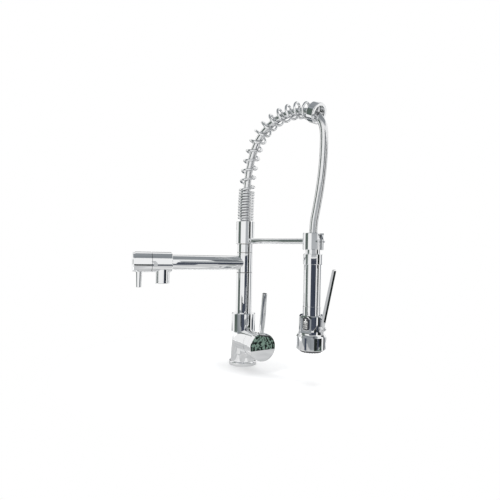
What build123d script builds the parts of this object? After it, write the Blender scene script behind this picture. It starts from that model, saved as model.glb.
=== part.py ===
from build123d import *
import os
from math import acos, cos, pi, radians, sin, sqrt, tan

# Kitchen mixer tap with a sprung overhead hose, a hand spray on a swinging arm and a swinging filler spout.
# Millimetres, +Z up. The origin is the centre of the tap's foot on the worktop, and the spray arm, the spring
# arch and the hand spray stand over +X. Angles in plan are degrees from +X, counter-clockwise from above.

os.makedirs("parts", exist_ok=True)

# ---------------------------------------------------------------------------------------------------------
# Clearances
# ---------------------------------------------------------------------------------------------------------

seat_gap = 0.1  # a fixed piece in the bore it sits in, on the radius
running_gap = 0.08  # a journal in its bearing, on the radius
swing_gap = 0.3  # between faces that turn past each other
break_edge = 0.5  # chamfer on the visible ends of tubes and rings

# ---------------------------------------------------------------------------------------------------------
# Foot and mixer body
# ---------------------------------------------------------------------------------------------------------

flange_diameter = 54.0
flange_height = 8.0
flange_round = 2.4
gasket_diameter = 50.0
gasket_bore = 38.0
gasket_thickness = 2.0
flange_lift = 0.5  # how far the flange stays above the worktop
foot_spigot_diameter = 34.0

body_diameter = 46.0
body_foot_diameter = 48.0
body_taper_height = 16.0
body_top = 102.0
body_edge = 1.5

inlet_drill = 9.0  # tapping size of an M10 x 1 hose inlet
inlet_offset = 5.0
inlet_spacing = 15.0
inlet_depth = 18.0
stud_drill = 6.8  # tapping size of the M8 fixing stud
stud_offset = -9.0
stud_depth = 20.0

# Side hub with the mixing cartridge, as distances along the hub's axis from the column's axis
hub_angle = -18.0
hub_height = 48.7
hub_cover = 4.1  # from the clamping nut to the hub's end
bonnet_flange = 2.5
cartridge_diameter = 35.0
cartridge_floor = 12.0
cartridge_length = 22.0
cartridge_neck_diameter = 28.0
cartridge_neck = 3.0
cartridge_nut_diameter = 37.0
cartridge_nut_length = 6.4
pivot_set = 2.0  # from the cartridge's shoulder to the pivot of the lever
flow_range = 16.0
bonnet_radius = 20.0
bonnet_wall = 1.6
bonnet_mouth = 10.5
turret_diameter = 15.8
turret_tail = 14.0  # from the pivot to the turret's inner end
turret_nose = 7.0  # from the pivot to the turret's outer end
stem_width = 8.0
stem_tail = 9.0  # from the pivot to the stem's inner end
stem_reach = 30.0  # from the pivot to the stem's outer end
stem_relief = 1.5
pivot_pin_diameter = 3.0

handle_length = 36.0
handle_face_diameter = 52.0
handle_flare_start = 17.0
handle_flare_end = 24.0
handle_edge = 0.5
handle_cavity_gap = 0.5
face_plate_rim = 0.8  # of the handle, round the face plate
face_plate_thickness = 1.6
face_plate_inset = 0.2
handle_lever_diameter = 9.6
handle_lever_inset = 11.6  # how deep the rod sits in the handle
handle_lever_set = 29.2  # from the handle's inner end to the rod
handle_lever_length = 74.0  # above the handle
handle_lever_lean = 7.2
handle_lever_edge = 0.8
grub_diameter = 5.0
grub_set = 14.2  # from the handle's inner end
grub_length = 8.0

# ---------------------------------------------------------------------------------------------------------
# Column
# ---------------------------------------------------------------------------------------------------------

column_diameter = 31.0
column_bore = 27.0
column_land = 9.0  # turned-in ends that grip the core
core_diameter = 21.84
core_bore = 13.0
core_socket = 12.0
core_port = 9.0
core_nut_diameter = 27.0
core_nut_height = 6.0
core_nut_slot = 4.0
ring_diameter = 29.4
ring_thickness = 0.6

spout_height = 201.0
tee_drop = 18.6  # from the spout's axis down to the tee's lower end
tee_height = 38.6
tee_diameter = 30.6
spacer_height = 16.2
spacer_diameter = 30.6

seal_width = 2.6
seal_depth = 2.0
seal_inset = 5.0  # from the ends of each bearing

# ---------------------------------------------------------------------------------------------------------
# Filler spout, as distances along its axis from the column's axis
# ---------------------------------------------------------------------------------------------------------

spout_angle = -115.0
spout_diameter = 27.6
spout_wall = 2.2
spout_stub = 30.0
spout_socket = 7.0
spout_reach = 146.8  # to the valve housing

valve_length = 36.8
valve_diameter = 37.4
valve_round = 0.8
outlet_set = 16.2  # from the valve housing's inner end
outlet_diameter = 26.0
outlet_passage = 17.0
outlet_drop = 21.3  # from the valve housing's underside down to the mouth
aerator_height = 4.5
aerator_thread_diameter = 22.0
aerator_thread_length = 9.0
aerator_bore = 18.0
aerator_rib = 1.2
aerator_recess = 1.5
filler_cartridge_diameter = 24.0
filler_cartridge_set = 9.2  # from the valve housing's inner end
filler_cartridge_recess = 2.0
filler_spindle_diameter = 8.0

sleeve_length = 30.0
sleeve_groove = 0.9
sleeve_web = 7.0
cap_length = 5.0
cap_diameter = 35.6
cap_round = 2.5
cap_spigot_diameter = 24.0
cap_spigot_length = 1.6
cap_dimple = 5.0
pin_set = 22.1  # from the sleeve's inner end
pin_top_diameter = 12.0
pin_bottom_diameter = 9.4
pin_seat = 10.0  # from the spout's axis down to the pin's upper end
pin_length = 37.0
pin_edge = 0.6
filler_screw_diameter = 4.0
filler_screw_head = 7.4
filler_screw_head_height = 2.4
filler_screw_length = 10.0
filler_screw_key = 1.8

# ---------------------------------------------------------------------------------------------------------
# Spray arm
# ---------------------------------------------------------------------------------------------------------

collar_diameter = 35.0
collar_height = 44.6
collar_bearing = 19.0
collar_chamber_diameter = 28.0
spring_seat_height = 11.0
spring_seat_spigot = 8.0
arm_rise = 5.5  # from the collar's lower end up to the rod's axis
arm_diameter = 10.0
arm_thread_diameter = 8.0
arm_thread_length = 4.5  # in the collar
holder_thread_length = 4.0
arm_washer_diameter = 13.0
arm_washer_thickness = 3.0

spray_reach = 169.0  # from the column's axis to the hand spray's axis
holder_diameter = 36.0
holder_bore = 26.0
holder_height = 29.0
holder_drop = 15.0  # from the rod's axis down to the holder's lower end
holder_slot = 16.5
holder_edge = 0.8
catch_diameter = 3.0
catch_length = 4.0
catch_proud = 0.8

# ---------------------------------------------------------------------------------------------------------
# Spring, hose and end ring. The routes are chosen by eye, as (distance from the column's axis, height above
# the collar).
# ---------------------------------------------------------------------------------------------------------

wire_diameter = 4.6
spring_diameter = 32.0
close_turns = 11
close_pitch = 5.45
open_turns = 13
coil_steps = 12  # points along each turn
wire_facets = 8  # flats round the wire

spring_route = [
    (0, 0),
    (0, 70.4),
    (18, 139.4),
    (43, 173.4),
    (80, 193.4),
    (125, 197.9),
    (150, 192.4),
    (176.5, 180.8),
]

hose_diameter = 14.0
hose_route = [
    (0, -9.6),
    (0, 70.4),
    (18, 139.4),
    (44, 171.9),
    (80.5, 191.4),
    (120, 195.4),
    (147, 190.6),
    (163.5, 184.8),
    (174.9, 176),
    (183.1, 164.3),
    (187.5, 150.6),
    (188.1, 126.4),
    (186.6, 91.4),
    (182, 54.4),
    (175.5, 20.4),
]
hose_straight = 18.0  # above the ferrule
held_corner_count = 7  # the held stretch ends half way along the run after this corner

end_ring_diameter = 36.6
end_ring_bore = 27.0
end_ring_length = 15.0
end_ring_pocket = 9.0
end_ring_round = 1.4

# ---------------------------------------------------------------------------------------------------------
# Hand spray, with each piece hung from the one above it
# ---------------------------------------------------------------------------------------------------------

ferrule_diameter = 25.2
ferrule_rise = 18.5  # from the holder's lower end up to the ferrule's shoulder
ferrule_cone = 8.0
ferrule_top_diameter = 17.0
swivel_diameter = 14.0
swivel_nose = 5.0  # how far the ferrule's journal reaches below the nut
clip_diameter = 18.0
clip_thickness = 1.2
clip_set = 1.5
nut_drop = 7.1  # from the holder's lower end down to the nut
nut_height = 18.4
nut_diameter = 33.0
nut_edge = 1.0
grip_diameter = 30.4
grip_length = 71.7
grip_wall = 2.2
grip_spigot = 9.0
neck_height = 15.3
neck_diameter = 31.2
housing_diameter = 43.0
housing_height = 34.6
housing_round = 1.6
flare_height = 7.6
flare_diameter = 48.6
housing_spigot_diameter = 42.0
housing_spigot = 7.0
nozzle_diameter = 51.4
nozzle_height = 24.4
nozzle_bevel = 2.2
nozzle_lip = 1.4
nozzle_rim = 2.6
face_proud = 3.5
face_slope = 4.0
face_thickness = 11.5

pivot_out = 0.5  # from the housing's surface out to the lever's pin
pivot_rise = 12.6  # from the housing's lower end up to the lever's pin
spray_pin_diameter = 2.5
spray_lever_width = 6.0
spray_lever_root = 5.6
spray_lever_tip = 4.2
spray_lever_round = 1.6
spray_lever_foot = (-2.4, -11.4)  # (distance out, height), both from the pin
spray_lever_head = (23.0, 102.0)
lever_slot_depth = 6.1
lever_slot_side = 0.4
ear_thickness = 3.0
ear_radius = 4.6
stem_rise = 13.0  # from the lever's pin up to the valve stem
stem_diameter = 5.0
stem_root = 6.0
stem_travel = 2.6
stem_clearance = 0.6  # from the valve stem to the lever at rest
stem_edge = 0.6

button_angle = -82.0
button_width = 11.2
button_height = 21.5
button_corner = 4.0
button_rise = 21.0  # from the housing's lower end up to the button's middle
button_proud = 1.6
button_travel = 1.5
button_depth = 5.0
button_edge = 0.8
flat_depth = 2.6  # of the flat that the button sits in
flat_rise = 4.6  # from the housing's lower end up to the flat

# ---------------------------------------------------------------------------------------------------------
# Shared geometry
# ---------------------------------------------------------------------------------------------------------

UP = Vector(0, 0, 1)


def heading(angle):
    """The horizontal direction at a plan angle."""
    return Vector(cos(radians(angle)), sin(radians(angle)), 0)


def upright(x=0.0, y=0.0, base=0.0):
    """The profile plane (radius, height) and the axis of a piece turned about a vertical line."""
    return Plane(origin=(x, y, base), x_dir=(1, 0, 0), z_dir=(0, -1, 0)), Axis((x, y, base), (0, 0, 1))


def lying(angle, height):
    """The profile plane (distance, radius) and the axis of a piece turned about a horizontal line."""
    along = heading(angle)
    return Plane(origin=(0, 0, height), x_dir=along, z_dir=along.cross(UP)), Axis((0, 0, height), along)


def spin(outline, turning, mode=Mode.ADD):
    """Turn an outline into a solid in the piece that is being built."""
    plane, axis = turning
    with BuildSketch(plane) as profile:
        with BuildLine():
            Polyline(*outline, close=True)
        make_face()
    revolve(profile.sketch, axis=axis, mode=mode)


def tube(inner, outer, low, high):
    """The outline of a plain tube about a vertical line."""
    return [(inner, low), (outer, low), (outer, high), (inner, high)]


def sleeve(inner, outer, start, end):
    """The outline of a plain tube about a horizontal line."""
    return [(start, inner), (end, inner), (end, outer), (start, outer)]


def broken(inner, outer, low, high):
    """The outline of a tube about a vertical line, with the outer edges broken."""
    return [
        (inner, low),
        (outer - break_edge, low),
        (outer, low + break_edge),
        (outer, high - break_edge),
        (outer - break_edge, high),
        (inner, high),
    ]


def save(builder, name):
    """Label a finished piece and write it out."""
    builder.part.label = name
    export_step(builder.part, f"parts/{name}.step")


column = upright()
hub = lying(hub_angle, hub_height)
spout = lying(spout_angle, spout_height)
spray = upright(spray_reach)

body_radius = body_diameter / 2
core_radius = core_diameter / 2
bearing_radius = core_radius + running_gap

# ---------------------------------------------------------------------------------------------------------
# Foot: rubber gasket and trim flange
# ---------------------------------------------------------------------------------------------------------

with BuildPart() as base_gasket:
    spin(tube(gasket_bore / 2, gasket_diameter / 2, 0, gasket_thickness), column)
save(base_gasket, "base_gasket")

with BuildPart() as base_flange:
    foot_bore = foot_spigot_diameter / 2 + seat_gap
    spin(tube(foot_bore, flange_diameter / 2, flange_lift, flange_height), column)
    spin(
        tube(gasket_bore / 2 - seat_gap, gasket_diameter / 2 + seat_gap, flange_lift, gasket_thickness),
        column,
        Mode.SUBTRACT,
    )
    top_rim = base_flange.edges().group_by(Axis.Z)[-1].sort_by(SortBy.RADIUS)[-1]
    fillet(top_rim, flange_round)
save(base_flange, "base_flange")

# ---------------------------------------------------------------------------------------------------------
# Mixer body: an upright cylinder with a side hub of the same diameter
# ---------------------------------------------------------------------------------------------------------

cartridge_end = cartridge_floor + cartridge_length
hub_end = cartridge_end + cartridge_nut_length + hub_cover
hub_length = hub_end + bonnet_flange
flow_pivot = cartridge_end + pivot_set
turret_floor = flow_pivot - turret_tail

with BuildPart() as mixer_body:
    spin(
        [
            (0, 0),
            (foot_spigot_diameter / 2, 0),
            (foot_spigot_diameter / 2, flange_height),
            (body_foot_diameter / 2, flange_height),
            (body_radius, flange_height + body_taper_height),
            (body_radius, body_top - body_edge),
            (body_radius - body_edge, body_top),
            (0, body_top),
        ],
        column,
    )
    spin(sleeve(0, body_radius, 0, hub_end), hub)
    spin(sleeve(0, cartridge_diameter / 2 + seat_gap, cartridge_floor, cartridge_end), hub, Mode.SUBTRACT)
    spin(sleeve(0, cartridge_nut_diameter / 2 + seat_gap, cartridge_end, hub_end), hub, Mode.SUBTRACT)
    spin(tube(0, core_radius + seat_gap, body_top - core_socket, body_top), column, Mode.SUBTRACT)
    with BuildSketch(Plane.XY) as inlet_holes:
        with Locations((inlet_offset, inlet_spacing / 2), (inlet_offset, -inlet_spacing / 2)):
            Circle(inlet_drill / 2)
    extrude(inlet_holes.sketch, amount=inlet_depth, mode=Mode.SUBTRACT)
    with BuildSketch(Plane.XY) as stud_hole:
        with Locations((stud_offset, 0)):
            Circle(stud_drill / 2)
    extrude(stud_hole.sketch, amount=stud_depth, mode=Mode.SUBTRACT)
save(mixer_body, "mixer_body")

# ---------------------------------------------------------------------------------------------------------
# Mixing cartridge, its clamping nut and the domed bonnet
# ---------------------------------------------------------------------------------------------------------

turret_bore = turret_diameter / 2 + swing_gap

with BuildPart() as mixer_cartridge:
    spin(
        [
            (cartridge_floor, 0),
            (cartridge_floor, cartridge_diameter / 2),
            (cartridge_end, cartridge_diameter / 2),
            (cartridge_end, cartridge_neck_diameter / 2),
            (cartridge_end + cartridge_neck, cartridge_neck_diameter / 2),
            (cartridge_end + cartridge_neck, turret_bore),
            (turret_floor - swing_gap, turret_bore),
            (turret_floor - swing_gap, 0),
        ],
        hub,
    )
save(mixer_cartridge, "mixer_cartridge")

with BuildPart() as cartridge_nut:
    spin(
        sleeve(
            cartridge_neck_diameter / 2 + seat_gap,
            cartridge_nut_diameter / 2,
            cartridge_end,
            cartridge_end + cartridge_nut_length,
        ),
        hub,
    )
save(cartridge_nut, "cartridge_nut")

bonnet_inner = bonnet_radius - bonnet_wall
bonnet_skirt_start = cartridge_end + cartridge_nut_length
bonnet_skirt_radius = cartridge_nut_diameter / 2


def on_dome(radius, away):
    """A point of a dome about the flow pivot, at a distance from the hub's axis."""
    return (flow_pivot + sqrt(radius**2 - away**2), away)


def dome_middle(radius, start, end):
    """The middle of the dome's arc between two distances from the hub's axis."""
    half = (acos(start / radius) + acos(end / radius)) / 2
    return (flow_pivot + radius * sin(half), radius * cos(half))


with BuildPart() as bonnet:
    outer_foot = sqrt(bonnet_radius**2 - (hub_length - flow_pivot) ** 2)
    inner_foot = sqrt(bonnet_inner**2 - (hub_end - flow_pivot) ** 2)
    with BuildSketch(hub[0]) as bonnet_profile:
        with BuildLine():
            Polyline(
                on_dome(bonnet_inner, inner_foot),
                (bonnet_skirt_start, inner_foot),
                (bonnet_skirt_start, bonnet_skirt_radius),
                (hub_end, bonnet_skirt_radius),
                (hub_end, body_radius),
                (hub_length, body_radius),
                on_dome(bonnet_radius, outer_foot),
            )
            ThreePointArc(
                on_dome(bonnet_radius, outer_foot),
                dome_middle(bonnet_radius, outer_foot, bonnet_mouth),
                on_dome(bonnet_radius, bonnet_mouth),
            )
            Line(on_dome(bonnet_radius, bonnet_mouth), on_dome(bonnet_inner, bonnet_mouth))
            ThreePointArc(
                on_dome(bonnet_inner, bonnet_mouth),
                dome_middle(bonnet_inner, inner_foot, bonnet_mouth),
                on_dome(bonnet_inner, inner_foot),
            )
        make_face()
    revolve(bonnet_profile.sketch, axis=hub[1])
save(bonnet, "bonnet")

# ---------------------------------------------------------------------------------------------------------
# Turning core of the cartridge: a forked turret with a cross pin that carries the stem
# ---------------------------------------------------------------------------------------------------------

hub_direction = heading(hub_angle)
hub_side = UP.cross(hub_direction)
flow_point = hub_direction * flow_pivot + UP * hub_height
across_hub = Plane(origin=flow_point, x_dir=hub_side, z_dir=hub_direction)
pin_plane = Plane(origin=flow_point, x_dir=hub_direction, z_dir=hub_side)

turret_end = flow_pivot + turret_nose
fork_slot = stem_width + 2 * swing_gap
fork_floor = flow_pivot - stem_tail - stem_relief

with BuildPart() as cartridge_turret:
    spin(sleeve(0, turret_diameter / 2, turret_floor, turret_end), hub)
    with BuildSketch(across_hub.offset(fork_floor - flow_pivot)) as slot_section:
        Rectangle(fork_slot, 2 * turret_diameter)
    extrude(slot_section.sketch, amount=turret_end - fork_floor, mode=Mode.SUBTRACT)
    with BuildSketch(pin_plane) as pin_hole:
        Circle(pivot_pin_diameter / 2 + seat_gap / 2)
    extrude(pin_hole.sketch, amount=turret_diameter, both=True, mode=Mode.SUBTRACT)
save(cartridge_turret, "cartridge_turret")

with BuildPart() as flow_pin:
    with BuildSketch(pin_plane) as pin_section:
        Circle(pivot_pin_diameter / 2)
    extrude(pin_section.sketch, amount=turret_diameter / 2 - 2 * swing_gap, both=True)
save(flow_pin, "flow_pin")

with BuildPart() as cartridge_stem:
    with BuildSketch(across_hub.offset(-stem_tail)) as stem_section:
        Rectangle(stem_width, stem_width)
    extrude(stem_section.sketch, amount=stem_tail + stem_reach)
    with BuildSketch(pin_plane) as stem_hole:
        Circle(pivot_pin_diameter / 2 + running_gap)
    extrude(stem_hole.sketch, amount=stem_width, both=True, mode=Mode.SUBTRACT)
    chamfer(cartridge_stem.faces().sort_by(hub[1])[0].edges(), stem_width / 8)
save(cartridge_stem, "cartridge_stem")

# ---------------------------------------------------------------------------------------------------------
# Mixer handle: a flared cap with a mirror face, relieved below so that it can tip outward
# ---------------------------------------------------------------------------------------------------------

handle_start = hub_length + swing_gap
handle_end = handle_start + handle_length
handle_radius = handle_face_diameter / 2
face_plate_radius = handle_radius - face_plate_rim
cavity_radius = bonnet_radius + handle_cavity_gap
cavity_mouth = sqrt(cavity_radius**2 - (handle_start - flow_pivot) ** 2)
lever_lean = radians(handle_lever_lean)
lever_direction = hub_direction * sin(lever_lean) + UP * cos(lever_lean)
lever_exit = hub_direction * (handle_start + handle_lever_set) + UP * (hub_height + handle_radius)
lever_root = Plane(
    origin=lever_exit - lever_direction * handle_lever_inset,
    x_dir=hub_side,
    z_dir=lever_direction,
)
lever_length = handle_lever_inset + handle_lever_length

with BuildPart() as mixer_handle:
    with BuildSketch(hub[0]) as handle_profile:
        with BuildLine():
            Polyline(
                (handle_start, cavity_mouth),
                (handle_start, body_radius),
                (handle_start + handle_flare_start, body_radius),
                (handle_start + handle_flare_end, handle_radius),
                (handle_end - handle_edge, handle_radius),
                (handle_end, handle_radius - handle_edge),
                (handle_end, face_plate_radius + seat_gap),
                (handle_end - face_plate_thickness, face_plate_radius + seat_gap),
                (handle_end - face_plate_thickness, 0),
                (flow_pivot + cavity_radius, 0),
            )
            ThreePointArc(
                (flow_pivot + cavity_radius, 0),
                dome_middle(cavity_radius, 0, cavity_mouth),
                (handle_start, cavity_mouth),
            )
        make_face()
    revolve(handle_profile.sketch, axis=hub[1])
    with BuildSketch(across_hub) as stem_socket:
        Rectangle(stem_width + 2 * seat_gap, stem_width + 2 * seat_gap)
    extrude(stem_socket.sketch, amount=stem_reach + seat_gap, mode=Mode.SUBTRACT)
    with BuildSketch(lever_root) as lever_socket:
        Circle(handle_lever_diameter / 2 + seat_gap)
    extrude(lever_socket.sketch, amount=lever_length, mode=Mode.SUBTRACT)
    grub_point = hub_direction * (handle_start + grub_set) + UP * hub_height
    grub_plane = Plane(origin=grub_point, x_dir=hub_direction, z_dir=-UP)
    with BuildSketch(grub_plane) as grub_hole:
        Circle(grub_diameter / 2 + seat_gap)
    extrude(grub_hole.sketch, amount=body_diameter, mode=Mode.SUBTRACT)
    # the plane that comes to lie flat against the hub when the handle is tipped right out
    tip = radians(flow_range)
    tipped_normal = hub_direction * cos(tip) + UP * sin(tip)
    relief_origin = flow_point + tipped_normal * (handle_start - flow_pivot)
    relief_plane = Plane(origin=relief_origin, x_dir=hub_side, z_dir=tipped_normal)
    with BuildSketch(relief_plane) as relief:
        Rectangle(2 * body_diameter, 2 * body_diameter)
    extrude(relief.sketch, amount=-hub_length, mode=Mode.SUBTRACT)
save(mixer_handle, "mixer_handle")

with BuildPart() as handle_face:
    face_back = handle_end - face_plate_thickness
    spin(sleeve(0, face_plate_radius, face_back, handle_end - face_plate_inset), hub)
save(handle_face, "handle_face")

with BuildPart() as handle_lever:
    with BuildSketch(lever_root) as rod_section:
        Circle(handle_lever_diameter / 2)
    extrude(rod_section.sketch, amount=lever_length)
    rod_tip = handle_lever.edges().sort_by(Axis.Z)[-1]
    chamfer(rod_tip, handle_lever_edge)
save(handle_lever, "handle_lever")

with BuildPart() as handle_grub:
    with BuildSketch(grub_plane.offset(stem_width / 2 + seat_gap)) as grub_section:
        Circle(grub_diameter / 2)
    extrude(grub_section.sketch, amount=grub_length)
    with BuildSketch(grub_plane.offset(stem_width / 2 + seat_gap + grub_length)) as grub_key:
        RegularPolygon(grub_diameter / 4, 6)
    extrude(grub_key.sketch, amount=-grub_length / 2, mode=Mode.SUBTRACT)
save(handle_grub, "handle_grub")

# ---------------------------------------------------------------------------------------------------------
# Column: tube, slide rings, spacer and the hidden core that everything turns on
# ---------------------------------------------------------------------------------------------------------

tee_bottom = spout_height - tee_drop
tee_top = tee_bottom + tee_height
ring_one = tee_bottom - swing_gap - ring_thickness
ring_two = tee_top + swing_gap
spacer_bottom = ring_two + ring_thickness
spacer_top = spacer_bottom + spacer_height
ring_three = spacer_top
collar_bottom = ring_three + ring_thickness + swing_gap
collar_top = collar_bottom + collar_height
bearing_top = collar_bottom + collar_bearing
core_bottom = body_top - core_socket
nut_floor = bearing_top + swing_gap
core_top = nut_floor + core_nut_height
fixed_bore = core_radius + seat_gap

with BuildPart() as column_tube:
    spin(
        [
            (fixed_bore, body_top),
            (column_diameter / 2, body_top),
            (column_diameter / 2, ring_one - break_edge),
            (column_diameter / 2 - break_edge, ring_one),
            (fixed_bore, ring_one),
            (fixed_bore, ring_one - column_land),
            (column_bore / 2, ring_one - column_land),
            (column_bore / 2, body_top + column_land),
            (fixed_bore, body_top + column_land),
        ],
        column,
    )
save(column_tube, "column_tube")

slide_ring_places = {
    "lower_slide_ring": ring_one,
    "middle_slide_ring": ring_two,
    "upper_slide_ring": ring_three,
}
for ring_name, ring_place in slide_ring_places.items():
    with BuildPart() as slide_ring:
        spin(tube(fixed_bore, ring_diameter / 2, ring_place, ring_place + ring_thickness), column)
    save(slide_ring, ring_name)

with BuildPart() as spacer_sleeve:
    spin(broken(fixed_bore, spacer_diameter / 2, spacer_bottom, spacer_top), column)
save(spacer_sleeve, "spacer_sleeve")

seal_places = [
    tee_bottom + seal_inset,
    tee_top - seal_inset - seal_width,
    collar_bottom + seal_inset,
    bearing_top - seal_inset - seal_width,
]

with BuildPart() as core_tube:
    spin(tube(core_bore / 2, core_radius, core_bottom, core_top), column)
    for place in seal_places:
        spin(
            tube(core_radius - seal_depth, bearing_radius, place, place + seal_width),
            column,
            Mode.SUBTRACT,
        )
    with BuildSketch(Plane(origin=(0, 0, spout_height), z_dir=heading(spout_angle))) as port:
        Circle(core_port / 2)
    extrude(port.sketch, amount=bearing_radius, mode=Mode.SUBTRACT)
save(core_tube, "core_tube")

with BuildPart() as seal_rings:
    for place in seal_places:
        spin(
            tube(core_radius - seal_depth, core_radius + running_gap / 2, place, place + seal_width),
            column,
        )
save(seal_rings, "seal_rings")

with BuildPart() as core_nut:
    spin(tube(core_radius + seat_gap, core_nut_diameter / 2, nut_floor, core_top), column)
    with BuildSketch(Plane.XY.offset(core_top)) as spanner_slots:
        Rectangle(core_nut_diameter, core_nut_slot)
        Rectangle(core_nut_slot, core_nut_diameter)
    extrude(spanner_slots.sketch, amount=-core_nut_height / 3, mode=Mode.SUBTRACT)
save(core_nut, "core_nut")

# ---------------------------------------------------------------------------------------------------------
# Filler spout: swivel tee, tube, valve housing with a drop outlet, and the aerator
# ---------------------------------------------------------------------------------------------------------

spout_direction = heading(spout_angle)
valve_start = spout_reach
valve_end = valve_start + valve_length
valve_radius = valve_diameter / 2
outlet_station = valve_start + outlet_set
outlet_point = spout_direction * outlet_station
outlet = upright(outlet_point.X, outlet_point.Y)
outlet_mouth = spout_height - valve_radius - outlet_drop
outlet_collar = outlet_mouth + aerator_height
spout_inner = spout_diameter / 2 - spout_wall

with BuildPart() as swivel_tee:
    spin(broken(0, tee_diameter / 2, tee_bottom, tee_top), column)
    spin(sleeve(0, spout_inner - seat_gap, 0, spout_stub), spout)
    spin(sleeve(0, core_port / 2, 0, spout_stub), spout, Mode.SUBTRACT)
    spin(tube(0, bearing_radius, tee_bottom, tee_top), column, Mode.SUBTRACT)
save(swivel_tee, "swivel_tee")

with BuildPart() as spout_tube:
    spin(sleeve(spout_inner, spout_diameter / 2, 0, valve_start + spout_socket), spout)
    spin(tube(0, tee_diameter / 2 + seat_gap, tee_bottom, tee_top), column, Mode.SUBTRACT)
save(spout_tube, "spout_tube")

filler_cartridge_start = valve_start + filler_cartridge_set

with BuildPart() as filler_housing:
    spin(
        [
            (valve_start, 0),
            (valve_start, valve_radius - valve_round),
            (valve_start + valve_round, valve_radius),
            (valve_end, valve_radius),
            (valve_end, 0),
        ],
        spout,
    )
    spin(tube(0, outlet_diameter / 2, outlet_collar, spout_height), outlet)
    spin(
        sleeve(0, spout_diameter / 2 + seat_gap, valve_start, valve_start + spout_socket + seat_gap),
        spout,
        Mode.SUBTRACT,
    )
    spin(sleeve(0, spout_inner, valve_start, filler_cartridge_start), spout, Mode.SUBTRACT)
    spin(
        sleeve(0, filler_cartridge_diameter / 2 + seat_gap, filler_cartridge_start, valve_end),
        spout,
        Mode.SUBTRACT,
    )
    spin(tube(0, outlet_passage / 2, outlet_collar, spout_height), outlet, Mode.SUBTRACT)
    spin(
        tube(0, aerator_thread_diameter / 2 + seat_gap, outlet_collar, outlet_collar + aerator_thread_length),
        outlet,
        Mode.SUBTRACT,
    )
save(filler_housing, "filler_housing")

sleeve_start = valve_end + swing_gap
sleeve_end = sleeve_start + sleeve_length
pin_station = sleeve_start + pin_set
web_start = pin_station - sleeve_web
cartridge_head = valve_end - filler_cartridge_recess

with BuildPart() as filler_cartridge:
    spin(
        [
            (filler_cartridge_start, filler_spindle_diameter / 2 + running_gap),
            (filler_cartridge_start, filler_cartridge_diameter / 2),
            (cartridge_head, filler_cartridge_diameter / 2),
            (cartridge_head, filler_spindle_diameter / 2 + running_gap),
        ],
        spout,
    )
    inlet_radius = outlet_passage / 2 - seal_depth
    spin(tube(0, inlet_radius, spout_height - valve_radius, spout_height), outlet, Mode.SUBTRACT)
save(filler_cartridge, "filler_cartridge")

with BuildPart() as aerator_shell:
    spin(
        [
            (aerator_bore / 2, outlet_mouth),
            (outlet_diameter / 2 - 2 * break_edge, outlet_mouth),
            (outlet_diameter / 2, outlet_mouth + 2 * break_edge),
            (outlet_diameter / 2, outlet_collar - swing_gap),
            (aerator_thread_diameter / 2, outlet_collar - swing_gap),
            (aerator_thread_diameter / 2, outlet_collar + aerator_thread_length - break_edge),
            (aerator_bore / 2, outlet_collar + aerator_thread_length - break_edge),
        ],
        outlet,
    )
save(aerator_shell, "aerator_shell")

with BuildPart() as aerator_insert:
    insert_low = outlet_mouth + aerator_recess
    insert_high = outlet_collar + aerator_thread_length / 2
    insert_radius = aerator_bore / 2 - seat_gap
    spin(tube(0, insert_radius, insert_low, insert_high), outlet)
    with BuildSketch(Plane(origin=(outlet_point.X, outlet_point.Y, insert_low))) as water_cells:
        Circle(insert_radius - aerator_rib)
        Rectangle(aerator_rib, 2 * insert_radius, mode=Mode.SUBTRACT)
        Rectangle(2 * insert_radius, aerator_rib, mode=Mode.SUBTRACT)
        Circle(insert_radius / 3, mode=Mode.SUBTRACT)
    extrude(water_cells.sketch, amount=aerator_height - aerator_recess, mode=Mode.SUBTRACT)
save(aerator_insert, "aerator_insert")

# ---------------------------------------------------------------------------------------------------------
# Filler tap handle: a turning sleeve with a pin lever, on the cartridge's spindle
# ---------------------------------------------------------------------------------------------------------

spindle_inner_end = outlet_station + outlet_passage / 2
web_end = pin_station + filler_screw_head_height / 2
screw_tip = web_end - filler_screw_length

with BuildPart() as filler_spindle:
    spin(sleeve(0, filler_spindle_diameter / 2, spindle_inner_end, web_end - break_edge), spout)
    spin(
        sleeve(0, filler_screw_diameter / 2 + seat_gap / 2, screw_tip - seat_gap, web_end),
        spout,
        Mode.SUBTRACT,
    )
save(filler_spindle, "filler_spindle")

spout_across = Plane(origin=UP * spout_height, x_dir=UP.cross(spout_direction), z_dir=spout_direction)
pin_root = Plane(
    origin=spout_direction * pin_station + UP * (spout_height - pin_seat),
    x_dir=spout_direction,
    z_dir=-UP,
)

with BuildPart() as filler_sleeve:
    spin(
        [
            (sleeve_start, cap_spigot_diameter / 2 + seat_gap),
            (sleeve_start, valve_radius - sleeve_groove),
            (sleeve_start + sleeve_groove, valve_radius),
            (sleeve_end, valve_radius),
            (sleeve_end, cap_spigot_diameter / 2 + seat_gap),
            (web_end, cap_spigot_diameter / 2 + seat_gap),
            (web_end, filler_spindle_diameter / 2 + seat_gap),
            (web_start, filler_spindle_diameter / 2 + seat_gap),
            (web_start, cap_spigot_diameter / 2 + seat_gap),
        ],
        spout,
    )
    with BuildSketch(pin_root) as pin_socket:
        Circle(pin_top_diameter / 2 + seat_gap)
    extrude(pin_socket.sketch, amount=valve_radius, mode=Mode.SUBTRACT)
save(filler_sleeve, "filler_sleeve")

with BuildPart() as filler_pin:
    with BuildSketch(pin_root) as pin_top:
        Circle(pin_top_diameter / 2)
    with BuildSketch(pin_root.offset(pin_length)) as pin_end:
        Circle(pin_bottom_diameter / 2)
    loft(sections=[pin_top.sketch.face(), pin_end.sketch.face()])
    chamfer(filler_pin.edges().sort_by(Axis.Z)[0], pin_edge)
save(filler_pin, "filler_pin")

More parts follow.
